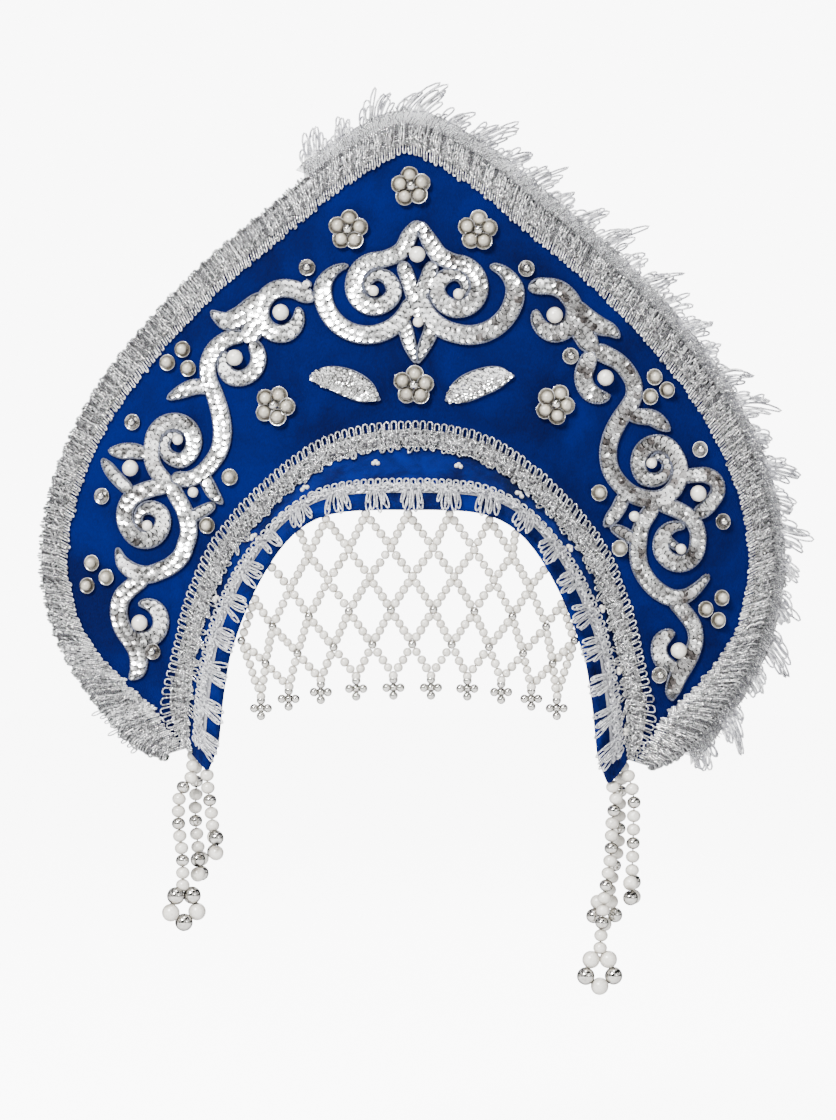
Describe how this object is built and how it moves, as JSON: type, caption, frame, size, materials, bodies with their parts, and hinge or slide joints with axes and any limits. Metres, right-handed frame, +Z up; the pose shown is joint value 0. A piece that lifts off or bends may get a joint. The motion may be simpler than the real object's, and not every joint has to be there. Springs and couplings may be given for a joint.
{
  "type": "kokoshnik headdress",
  "caption": "Pointed crest headdress of blue velour with silver braid, sequin scrolls and pearls, on a horseshoe head band with a forehead bead net and bead strands at the legs.",
  "frame": {"origin": "where the headdress sits on the head: the top of the band's opening, at its front edge, on the inner side", "axes": "+Z up, the front faces -Y, +X is the viewer's right"},
  "size_m": [0.3614, 0.079, 0.4233],
  "materials": {
    "velour": "short-pile royal-blue velour on card",
    "velvet": "deep-blue velvet",
    "silver_braid": "silver lurex braid",
    "silver_lace": "bright silver lace",
    "sequins": "metallised sequins",
    "pearl": "pearl lustre",
    "spangle_silver": "metallised cup with a silver bead"
  },
  "bodies": {
    "root": {"arch_braid": "silver_braid", "band_lace": "silver_lace", "bead_net": "pearl", "crest_board": "velour", "crest_edge_braid": "silver_braid", "edge_fringe": "silver_braid", "flower_1": "pearl", "flower_2": "pearl", "flower_3": "pearl", "flower_4": "pearl", "flower_5": "pearl", "flower_6": "pearl", "head_band": "velvet", "leaf_left": "sequins", "leaf_right": "sequins", "pearl_big_1": "pearl", "pearl_big_2": "pearl", "pearl_big_3": "pearl", "pearl_big_4": "pearl", "pearl_big_5": "pearl", "pearl_big_6": "pearl", "pearl_big_7": "pearl", "pearl_big_8": "pearl", "pearl_big_9": "pearl", "pearl_small_1": "pearl", "pearl_small_2": "pearl", "pendant_left_long": "pearl", "pendant_left_middle": "pearl", "pendant_left_short": "pearl", "pendant_right_long": "pearl", "pendant_right_middle": "pearl", "pendant_right_short": "pearl", "scroll_center": "sequins", "scroll_left": "sequins", "scroll_right": "sequins", "spangle_1": "spangle_silver", "spangle_10": "spangle_silver", "spangle_11": "spangle_silver", "spangle_12": "spangle_silver", "spangle_13": "spangle_silver", "spangle_14": "spangle_silver", "spangle_15": "spangle_silver", "spangle_16": "spangle_silver", "spangle_17": "spangle_silver", "spangle_18": "spangle_silver", "spangle_19": "spangle_silver", "spangle_2": "spangle_silver", "spangle_20": "spangle_silver", "spangle_21": "spangle_silver", "spangle_22": "spangle_silver", "spangle_23": "spangle_silver", "spangle_24": "spangle_silver", "spangle_25": "spangle_silver", "spangle_3": "spangle_silver", "spangle_4": "spangle_silver", "spangle_5": "spangle_silver", "spangle_6": "spangle_silver", "spangle_7": "spangle_silver", "spangle_8": "spangle_silver", "spangle_9": "spangle_silver"}
  },
  "joints": []
}
